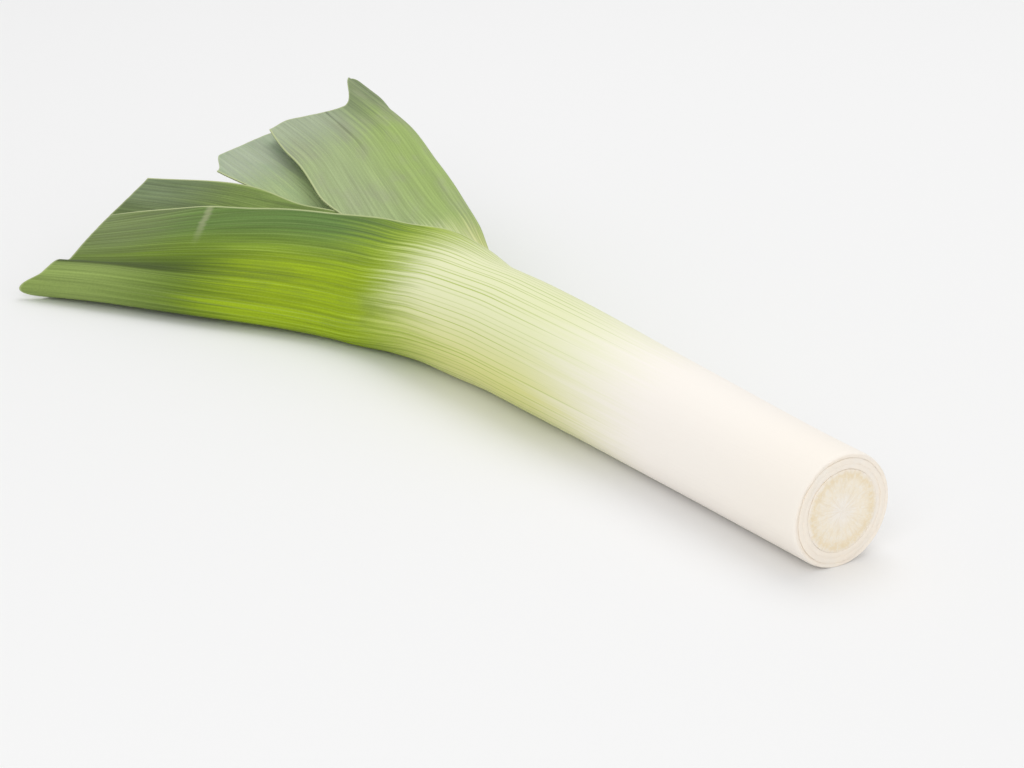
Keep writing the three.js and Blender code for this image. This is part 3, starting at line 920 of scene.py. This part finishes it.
LOOKS = {
    "leaf_left_1": {
        "half_width": 60.0, "keel_lead": 34.0, "margin_lead": 16.0, "pale_veins": 0.16,
        "line_start": 92.0, "rim_width": 0.8, "raggedness": 34.0,
        "green_start": 216.0, "green_length": 44.0, "mature": 290.0,
        "upper_from": 0.35, "upper_to": 0.75, "upper_delay": 22.0, "upper_kept": 0.75,
        "tip_share": 0.3, "tip_start": 335.0, "wax": 0.04, "seed": 1.0, "patchiness": 0.35,
        "striping": 0.13, "graining": 0.17, "crease": 0.28, "scar": 346.5,
        "bright": srgb(150, 175, 18), "upper": srgb(100, 130, 66), "middle": srgb(96, 121, 32),
        "tip": srgb(112, 129, 76), "patch": srgb(108, 128, 54),
    },
    "leaf_right_1": {
        "half_width": 56.0, "pale_veins": 0.14, "line_start": 130.0,
        "green_start": 225.0, "green_length": 40.0, "mature": 345.0, "upper_from": 0.2,
        "tip_start": 340.0, "wax": 0.08, "seed": 2.0, "patchiness": 0.5,
        "striping": 0.06, "graining": 0.12, "fold": 0.485,
        "bright": srgb(154, 177, 100), "upper": srgb(160, 177, 126), "middle": srgb(124, 140, 96),
        "tip": srgb(164, 176, 146), "patch": srgb(156, 160, 132),
    },
    "leaf_left_2": {
        "half_width": 45.0, "pale_veins": 0.14, "line_start": 150.0,
        "green_start": 240.0, "green_length": 50.0, "mature": 325.0, "upper_from": 0.2,
        "tip_share": 0.4, "tip_start": 345.0, "wax": 0.06, "seed": 3.0, "patchiness": 0.4,
        "striping": 0.18, "graining": 0.18,
        "bright": srgb(148, 172, 74), "upper": srgb(134, 158, 80), "middle": srgb(112, 131, 72),
        "tip": srgb(118, 134, 98), "patch": srgb(96, 116, 66),
    },
    "leaf_right_2": {
        "half_width": 48.0, "pale_veins": 0.20, "line_start": 160.0,
        "green_start": 250.0, "green_length": 50.0, "mature": 320.0,
        "tip_share": 0.0, "tip_start": 340.0, "wax": 0.08, "seed": 4.0, "patchiness": 0.4,
        "striping": 0.10, "graining": 0.06,
        "bright": srgb(176, 198, 130), "upper": srgb(174, 194, 138), "middle": srgb(158, 176, 128),
        "tip": srgb(170, 182, 156), "patch": srgb(134, 164, 122),
    },
    "leaf_left_3": {
        "half_width": 30.0, "spacing": 2.4, "line_start": 180.0,
        "green_start": 270.0, "green_length": 60.0, "mature": 330.0,
        "tip_start": 345.0, "seed": 5.0, "patchiness": 0.3, "striping": 0.12, "graining": 0.08,
        "bright": srgb(172, 192, 92), "upper": srgb(150, 176, 84), "middle": srgb(140, 166, 76),
        "tip": srgb(132, 156, 82), "patch": srgb(124, 150, 70),
    },
    "leaf_right_3": {
        "half_width": 23.0, "spacing": 2.4, "line_start": 190.0,
        "green_start": 285.0, "green_length": 60.0, "mature": 345.0,
        "tip_start": 350.0, "seed": 6.0, "patchiness": 0.3, "striping": 0.10, "graining": 0.06,
        "bright": srgb(190, 206, 112), "upper": srgb(176, 196, 100), "middle": srgb(160, 184, 86),
        "tip": srgb(154, 178, 90), "patch": srgb(146, 172, 82),
    },
    "heart_leaf": {
        "half_width": 25.0, "pale_veins": 0.10, "spacing": 2.4, "line_start": 200.0, "raggedness": 20.0,
        "green_start": 290.0, "green_length": 60.0, "mature": 360.0,
        "tip_start": 360.0, "seed": 7.0, "patchiness": 0.2, "striping": 0.06, "graining": 0.05,
        "bright": srgb(212, 220, 132), "upper": srgb(206, 216, 124), "middle": srgb(200, 212, 116),
        "tip": srgb(196, 208, 112), "patch": srgb(190, 204, 110),
    },
}


def plate_finish(centre):
    """Cut basal plate: a tan ring inside its rim, mottled cream fibres and a pale middle."""
    material, tree, shader = new_finish("cut_basal_plate")
    where = add_node(tree, "ShaderNodeTexCoord").outputs["Object"]
    local = add_node(tree, "ShaderNodeMapping", {"Vector": where, "Location": tuple(-centre)}).outputs[0]
    parts = add_node(tree, "ShaderNodeSeparateXYZ", {0: local})
    y, z = parts.outputs[1], parts.outputs[2]
    radius = maths(tree, "SQRT", plus(tree, times(tree, y, y), times(tree, z, z)))
    out = times(tree, radius, 1000.0)
    turn = maths(tree, "ARCTAN2", z, y)
    rays = point_of(
        tree,
        times(tree, maths(tree, "COSINE", turn), 9.0),
        times(tree, maths(tree, "SINE", turn), 9.0),
        times(tree, out, 0.18),
    )
    fibres = noise_of(tree, rays, 1.0, 4.0, 0.7)
    mottle = noise_of(tree, local, 900.0, 4.0, 0.7)
    clouds = noise_of(tree, local, 260.0, 2.0)
    wavy = plus(tree, out, times(tree, minus(tree, clouds, 0.5), 3.0))
    flesh = mixed(tree, rise(tree, wavy, 2.0, 7.5), PLATE_PALE, PLATE_CREAM)
    ring = mixed(tree, rise(tree, wavy, 9.5, 12.6), flesh, PLATE_TAN)
    rim = mixed(tree, rise(tree, wavy, 12.6, 14.6), ring, CUT_CREAM)
    speckled = mixed(tree, rise(tree, mottle, 0.42, 0.62, 0.0, 0.5), rim, PLATE_SPECK)
    streaked = mixed(tree, rise(tree, fibres, 0.45, 0.65, 0.0, 0.35), speckled, PLATE_FIBRE)
    tree.links.new(streaked, shader.inputs["Base Color"])
    height = plus(tree, times(tree, mottle, 0.6), times(tree, fibres, 0.4))
    relief = {"Height": height, "Strength": 0.6, "Distance": 0.0004}
    tree.links.new(add_node(tree, "ShaderNodeBump", relief).outputs[0], shader.inputs["Normal"])
    tree.links.new(rise(tree, mottle, 0.3, 0.7, 0.45, 0.65), shader.inputs["Roughness"])
    return material


def dress(piece, material, node_name):
    piece.data.materials.clear()
    piece.data.materials.append(material)
    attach(piece, "root")
    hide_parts(node_name)


veins = veins_group()
edges = edges_group()


def skin_of(name):
    return leaf_finish(name + "_skin", veins, edges, {**PLAIN_LOOK, **LOOKS[name]})


for leaf in LEAVES:
    dress(make_leaf(leaf), skin_of(leaf["name"]), leaf["name"])
dress(make_heart(), skin_of("heart_leaf"), "heart_leaf")
plate, plate_centre = make_plate()
dress(plate, plate_finish(plate_centre), "basal_plate")


# A plain pale floor, soft light and the camera

CAMERA_AHEAD = 0.6333
CAMERA_ASIDE = -0.5592
CAMERA_HEIGHT = 0.3961
CAMERA_DOWN = 21.64
CAMERA_TURN = 55.81
SKY_STRENGTH = 0.72


def make_floor():
    deselect()
    bpy.ops.mesh.primitive_plane_add(size=12, location=(0, 0, 0))
    floor = bpy.context.object
    floor.name = "pale_floor"
    material, tree, shader = new_finish("pale_floor")
    shader.inputs["Base Color"].default_value = (0.9, 0.9, 0.9, 1)
    shader.inputs["Roughness"].default_value = 0.8
    floor.data.materials.append(material)


def add_light(name, location, aim, size, watts):
    data = bpy.data.lights.new(name, "AREA")
    data.shape = "DISK"
    data.size = size
    data.energy = watts
    lamp = bpy.data.objects.new(name, data)
    lamp.location = location
    lamp.rotation_euler = (Vector(aim) - Vector(location)).to_track_quat("-Z", "Y").to_euler()
    bpy.context.scene.collection.objects.link(lamp)


def add_sky():
    sky = bpy.data.worlds.new("studio")
    sky.use_nodes = True
    background = sky.node_tree.nodes["Background"]
    background.inputs[0].default_value = (1, 1, 1, 1)
    background.inputs[1].default_value = SKY_STRENGTH
    bpy.context.scene.world = sky


def add_camera():
    data = bpy.data.cameras.new("camera")
    data.lens = 100
    data.sensor_width = 36
    camera = bpy.data.objects.new("camera", data)
    camera.location = (ROOT_X + CAMERA_AHEAD, ROOT_Y + CAMERA_ASIDE, CAMERA_HEIGHT)
    camera.rotation_euler = (math.radians(90 - CAMERA_DOWN), 0, math.radians(CAMERA_TURN))
    bpy.context.scene.collection.objects.link(camera)
    bpy.context.scene.camera = camera


make_floor()
add_light("overhead", (-0.3, 0.5, 1.5), (0, 0, 0), 1.4, 7)
add_light("side", (0.9, -0.9, 0.9), (0.1, 0, 0), 1.0, 4)
add_sky()
bpy.context.scene.view_settings.view_transform = "Standard"
add_camera()
